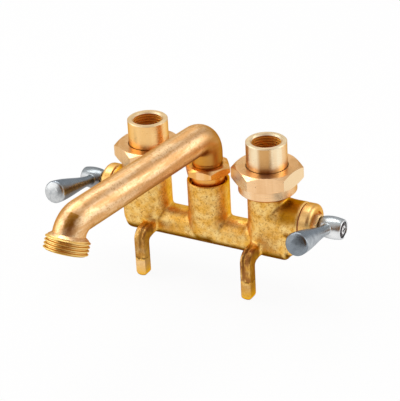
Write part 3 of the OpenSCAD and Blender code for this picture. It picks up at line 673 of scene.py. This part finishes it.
def union_brass():
    """The union nuts: pink gold, with painted highlights on the flats to the sides and to the left in
    front.
    """
    tree = Surface("union_brass")
    colour, rings = turned(tree, UNION_TONES, "Z")
    skirt_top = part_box("right_union_nut")[0].z + UNION_SKIRT
    hexagon = tree.remap(tree.axis("Z"), skirt_top - 0.2 * MM, skirt_top + 0.2 * MM, 0.3, 1.0)
    sides = tree.rise(tree.absolute(tree.toward(RIGHT)), 0.55, 0.80, 0.8)
    colour = tree.stain(colour, UNION_TONES["side_flat_highlight"], sides, hexagon)
    left_front = tree.rise(tree.toward(UNION_LEFT_FLAT), 0.90, 0.97)
    by_side = tree.remap(tree.axis("X"), -10 * MM, 10 * MM, 0.25, 1.0)
    colour = tree.stain(colour, UNION_TONES["left_flat_highlight"], left_front, by_side, hexagon)
    return finish_turned(tree, UNION_TONES, colour, rings, 3 * MM)


def tail_front_reflection(tree, colour, middle, top):
    """A painted reflection: a brown band down the front of the tailpieces, paler at the top and on the left
    one.
    """
    front = tree.rise(tree.toward(TAIL_FRONT), 0.92, 0.99)
    by_side = tree.remap(tree.axis("X"), -middle.x, middle.x, 0.15, 0.85)
    near_top = tree.rise(tree.axis("Z"), top - 20 * MM, top - 4 * MM)
    tone = tree.mix(near_top, TAIL_TONES["band_foot_reflection"], TAIL_TONES["band_top_reflection"])
    return tree.stain(colour, tone, front, by_side)


def tail_brass():
    """The tailpieces: bright, with painted reflections, a brown band down the front and orange on the left
    one, a painted highlight on the rim, and a warm thread.
    """
    tree = Surface("tail_brass")
    low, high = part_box("right_tailpiece")
    middle = (low + high) / 2
    colour, rings = turned(tree, TAIL_TONES, "Z")
    # Painted reflection: the left tailpiece is more orange
    to_left = tree.fall(tree.axis("X"), -middle.x, middle.x, 0.75)
    colour = tree.stain(colour, TAIL_TONES["left_piece_reflection"], to_left)
    colour = tail_front_reflection(tree, colour, middle, high.z)
    across = tree.math("SUBTRACT", tree.absolute(tree.axis("X")), middle.x)
    radius = tree.length(across, tree.axis("Y"))
    inside = tree.fall(radius, TAIL_THREAD_RADIUS - 0.2 * MM, TAIL_THREAD_RADIUS + 0.2 * MM)
    rim_levels = (high.z - TAIL_RIM, high.z - TAIL_RIM + 0.6 * MM)
    bore = tree.product(inside, tree.fall(tree.axis("Z"), *rim_levels))
    # Painted highlight on the rim
    rim = tree.product(tree.rise(tree.axis("Z"), *rim_levels), tree.rise(tree.toward(UP), 0.2, 0.6))
    colour = tree.stain(colour, TAIL_TONES["rim"], rim, 0.6)
    colour = tree.stain(colour, TAIL_TONES["bore"], bore)
    return finish_turned(tree, TAIL_TONES, colour, rings, 0.6 * MM, matt=bore)


def gland_brass():
    """The gland nut: orange gold, with a painted orange reflection on the right and painted shade below its
    hexagon.
    """
    tree = Surface("gland_brass")
    neck_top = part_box("spout_gland_nut")[1].z - GLAND_HEXAGON
    colour, rings = turned(tree, GLAND_TONES, "Z")
    right = tree.rise(tree.toward(RIGHT), 0.30, 0.85, 0.7)
    colour = tree.stain(colour, GLAND_TONES["right_flat_reflection"], right)
    neck = tree.fall(tree.axis("Z"), neck_top - 0.6 * MM, neck_top + 0.2 * MM)
    colour = tree.stain(colour, GLAND_TONES["neck"], neck, 0.8)
    return finish_turned(tree, GLAND_TONES, colour, rings, 3 * MM)


def valve_brass():
    """The bonnets and what is inside the valves: plain turned brass."""
    tree = Surface("valve_brass")
    colour, rings = turned(tree, VALVE_TONES, "X")
    return finish_turned(tree, VALVE_TONES, colour, rings, 0.6 * MM, VALVE_SMOOTH)


def packing_brass():
    """The packing nuts: brass painted paler than the rest, as light on them where they sit in shade at the
    root of the handles.
    """
    tree = Surface("packing_brass")
    colour, rings = turned(tree, PACKING_LIT_TONES, "X")
    return finish_turned(tree, PACKING_LIT_TONES, colour, rings, 0.3 * MM, PACKING_SMOOTH)


def hub_tone(tree, hub):
    """Tone of a lever's hub, with painted shade: darker at its root, and grey on top."""
    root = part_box("right_handle")[1].x - HUB_ROOT
    outward = tree.rise(tree.absolute(tree.axis("X")), root, root + 8 * MM)
    tone = tree.mix(outward, [HUB_SHADE * value for value in hub], hub)
    return tree.stain(tone, CHROME_TONES["hub_top_shade"], tree.rise(tree.toward(UP), 0.40, 0.90, 0.65))


def screw_distance(tree):
    """Distance from the axis of the handle screws."""
    low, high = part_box("right_handle_screw")
    middle = (low + high) / 2
    aside = tree.math("SUBTRACT", tree.axis("Y"), middle.y)
    above = tree.math("SUBTRACT", tree.axis("Z"), middle.z)
    return tree.length(aside, above)


def screw_recess(tree):
    """1 in the hollow of a lever's hub round its screw, where shade is painted."""
    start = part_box("right_handle_screw")[1].x - RECESS_ZONE
    inside = tree.fall(screw_distance(tree), RECESS_RADIUS - 0.7 * MM, RECESS_RADIUS - 0.1 * MM)
    return tree.product(inside, tree.rise(tree.absolute(tree.axis("X")), start, start + 1 * MM))


def dull_chrome(name, hub, flank_shading, end):
    """A lever's dull plating, with the painted light and shade of its hub, of the grip's right side and of
    the grip's end, and painted shade in its hollows.
    """
    tree = Surface(name)
    tip = -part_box("right_handle")[0].y
    forward = tree.product(tree.axis("Y"), -1.0)
    cloud = tree.noise(4 * MM, detail=5.0)
    right_side = tree.rise(tree.toward(RIGHT - UP * 0.3), 0.35, 0.95)
    grip_tone = tree.mix(right_side, CHROME_TONES["grip"], flank_shading)
    grip = tree.rise(forward, GRIP_START, GRIP_START + 13 * MM)
    colour = tree.mix(grip, hub_tone(tree, hub), grip_tone)
    colour = tree.stain(colour, end, tree.rise(forward, tip - 4.5 * MM, tip - 2.5 * MM))
    worn = tree.remap(forward, GRIP_START, GRIP_START + 17 * MM, 0.10, 0.40)
    colour = tree.stain(colour, CHROME_TONES["worn"], tree.rise(cloud, 0.42, 0.66), worn)
    colour = tree.stain(colour, CHROME_TONES["recess"], screw_recess(tree))
    # Painted shade in the lever's hollows
    colour = tree.stain(colour, CHROME_TONES["corner_shade"], tree.crevice(2 * MM, 0.35, 0.90))
    normal = tree.bump(tree.noise(2.5 * MM, detail=3.0), 0.05 * MM, 0.4)
    return tree.finish(colour, tree.spread(cloud, 0.24, 0.34), normal, rim=CHROME_RIM)


def grained(tree, tones, grain_size, detail):
    """A colour between two tones, and the grain that it follows."""
    grain = tree.noise(grain_size, detail=detail)
    return tree.mix(tree.rise(grain, 0.35, 0.65), tones["dark"], tones["light"]), grain


def finish_steel(tree, colour, grain):
    # Painted shade in hollows
    colour = tree.stain(colour, STEEL_CORNER_SHADE, tree.crevice(0.8 * MM, 0.25, 0.85))
    return tree.finish(colour, tree.spread(grain, 0.14, 0.24), tree.bump(grain, 0.02 * MM, 0.3))


def bright_steel():
    """The spout's retaining ring."""
    tree = Surface("bright_steel")
    colour, grain = grained(tree, RING_TONES, 0.8 * MM, 3.0)
    return finish_steel(tree, colour, grain)


def screw_steel():
    """The handle screws: bright heads with painted shade round their rims."""
    tree = Surface("screw_steel")
    low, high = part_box("right_handle_screw")
    head = (high.z - low.z) / 2
    colour, grain = grained(tree, SCREW_TONES, 0.8 * MM, 3.0)
    rim_shade = tree.rise(screw_distance(tree), 0.56 * head, 0.74 * head)
    return finish_steel(tree, tree.stain(colour, SCREW_RIM_SHADE, rim_shade), grain)


def soft_seal(name, tones, grain_size):
    """Rubber or fibre of the washers, gaskets, packing rings and O-rings."""
    tree = Surface(name)
    colour, grain = grained(tree, tones, grain_size, 5.0)
    return tree.finish(colour, tree.spread(grain, 0.55, 0.75), tree.bump(grain, 0.05 * MM, 0.5), 0.0)


def paint(piece, material):
    piece.data.materials.clear()
    piece.data.materials.append(material)


def smooth_step(values, low, high):
    """Rises smoothly from 0 at low to 1 at high."""
    share = np.clip((values - low) / (high - low), 0.0, 1.0)
    return share * share * (3.0 - 2.0 * share)


def apply_modifiers(piece):
    graph = bpy.context.evaluated_depsgraph_get()
    shape = bpy.data.meshes.new_from_object(piece.evaluated_get(graph))
    piece.modifiers.clear()
    old = piece.data
    piece.data = shape
    bpy.data.meshes.remove(old)


def skin_of(node, name, voxel, passes, softness=None):
    """A copy of a CAD node with softened corners, as in a casting. softness is 0 where they stay crisp."""
    piece = bpy.data.objects.new(name, nodes[node].data.copy())
    bpy.context.scene.collection.objects.link(piece)
    remesh = piece.modifiers.new("remesh", "REMESH")
    remesh.mode = "VOXEL"
    remesh.voxel_size = voxel
    apply_modifiers(piece)
    points = mesh_points(piece.data)
    weights = np.ones(len(points)) if softness is None else softness(points)
    group = piece.vertex_groups.new(name="soft")
    for index, weight in enumerate(weights):
        group.add([index], float(weight), "REPLACE")
    smooth = piece.modifiers.new("smooth", "SMOOTH")
    smooth.factor = SMOOTH_FACTOR
    smooth.iterations = passes
    smooth.vertex_group = group.name
    apply_modifiers(piece)
    piece.data.shade_smooth()
    return piece


def body_softness(points):
    """0 on the machined rims, at the bosses' ends and the spout tower's top, and little on the legs."""
    rim_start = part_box("body")[1].x - BOSS_RIM
    gland_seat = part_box("spout_gland_nut")[0].z + GLAND_THREAD
    across = np.abs(points[:, 0])
    boss_ends = smooth_step(across, rim_start, rim_start + 2 * MM)
    at_seat = smooth_step(points[:, 2], gland_seat - 4 * MM, gland_seat - 2 * MM)
    tower_top = (across < TOWER_ZONE) * at_seat
    legs = 0.7 * smooth_step(-points[:, 1], LEG_START, LEG_START + 3 * MM)
    return (1.0 - boss_ends) * (1.0 - tower_top) * (1.0 - legs)


def build_body():
    skin = skin_of("body", "body_casting", BODY_VOXEL, BODY_PASSES, body_softness)
    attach(skin, "faucet")
    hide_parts("body")
    paint(skin, cast_brass())


def build_handles():
    for side in SIDES:
        skin = skin_of(f"{side}_handle", f"{side}_lever", LEVER_VOXEL, LEVER_PASSES)
        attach(skin, f"{side}_handle_set")
        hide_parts(f"{side}_handle")
        paint(skin, dull_chrome(f"{side}_dull_chrome", **LEVER_LIT_TONES[side]))


def paint_nodes():
    valve = valve_brass()
    rubber = soft_seal("rubber", RUBBER_TONES, 0.6 * MM)
    fibre = soft_seal("fibre", FIBRE_TONES, 0.8 * MM)
    shared = {
        "spout": spout_brass(), "spout_gland_nut": gland_brass(), "spout_o_rings": rubber,
        "spout_retaining_ring": bright_steel(),
    }
    sided = {
        "tailpiece": tail_brass(), "union_nut": union_brass(), "union_washer": fibre,
        "valve_seat": valve, "seat_washer": rubber, "washer_screw": valve, "stem": valve,
        "bonnet": valve, "bonnet_gasket": fibre, "packing_ring": rubber, "packing_nut": packing_brass(),
        "handle_screw": screw_steel(),
    }
    for name, material in shared.items():
        paint(nodes[name], material)
    for side in SIDES:
        for name, material in sided.items():
            paint(nodes[f"{side}_{name}"], material)


def floor_material():
    """Matt paper that the camera, and the metal's mirrors, see as near white. It keeps the shadow."""
    material = bpy.data.materials.new("floor")
    material.use_nodes = True
    material.node_tree.nodes.clear()
    tree = NodeTree(material.node_tree)
    paper = tree.add("ShaderNodeBsdfDiffuse", {"Color": opaque([FLOOR_GREY] * 3)})
    white = tree.add("ShaderNodeEmission")
    rays = tree.add("ShaderNodeLightPath").outputs
    seen = rays["Is Camera Ray"]
    for name in ("Is Glossy Ray", "Is Transmission Ray"):
        seen = tree.math("MAXIMUM", seen, rays[name])
    shaders = {1: paper.outputs["BSDF"], 2: white.outputs["Emission"]}
    both = tree.add("ShaderNodeMixShader", {"Fac": tree.product(seen, FLOOR_WHITE), **shaders})
    tree.add("ShaderNodeOutputMaterial", {"Surface": both.outputs["Shader"]})
    return material


def add_floor():
    low = cad_box[0][2]
    reach = FLOOR_SIZE / 2
    mesh = bpy.data.meshes.new("floor")
    corners = [(-reach, -reach, low), (reach, -reach, low), (reach, reach, low), (-reach, reach, low)]
    mesh.from_pydata(corners, [], [(0, 1, 2, 3)])
    floor = bpy.data.objects.new("floor", mesh)
    bpy.context.scene.collection.objects.link(floor)
    mesh.materials.append(floor_material())


def add_world():
    """A pale room with dark places: brown at the camera's side, grey in front and tan at the back."""
    world = bpy.data.worlds.new("studio")
    bpy.context.scene.world = world
    world.use_nodes = True
    tree = NodeTree(world.node_tree)
    direction = tree.add("ShaderNodeTexCoord").outputs["Generated"]
    colour = ROOM_LIGHT
    for place, inner_angle, outer_angle, dark in (
        (camera_back(), 20.0, 48.0, ROOM_BROWN),
        (FRONT_GAP, 15.0, 40.0, ROOM_GREY),
        (BACK_GAP, 5.0, 15.0, ROOM_TAN),
    ):
        facing = tree.dot(direction, place.normalized())
        limits = [math.cos(math.radians(angle)) for angle in (outer_angle, inner_angle)]
        colour = tree.mix(tree.rise(facing, *limits), colour, dark)
    tree.link(colour, world.node_tree.nodes["Background"].inputs["Color"])


def add_softbox(name, place, width, height, power):
    data = bpy.data.lights.new(name, "AREA")
    data.shape = "RECTANGLE"
    data.size = width
    data.size_y = height
    data.energy = power
    lamp = bpy.data.objects.new(name, data)
    bpy.context.scene.collection.objects.link(lamp)
    turn = (LAMP_AIM - Vector(place)).to_track_quat("-Z", "Y").to_matrix().to_4x4()
    lamp.matrix_world = Matrix.Translation(Vector(place)) @ turn


def add_lights():
    add_softbox("left_softbox", (-0.68, -0.55, 0.36), 0.95, 0.7, 3.0)
    add_softbox("right_softbox", (0.90, 0.45, 0.45), 0.7, 0.7, 2.4)
    add_softbox("top_softbox", (-0.25, 0.30, 0.95), 0.5, 0.5, 2.5)
    add_softbox("upper_left_softbox", (-0.53, 0.0, 0.88), 0.3, 0.3, 1.2)


add_camera()
build_body()
build_handles()
paint_nodes()
add_floor()
add_world()
add_lights()
bpy.context.scene.view_settings.view_transform = "Standard"
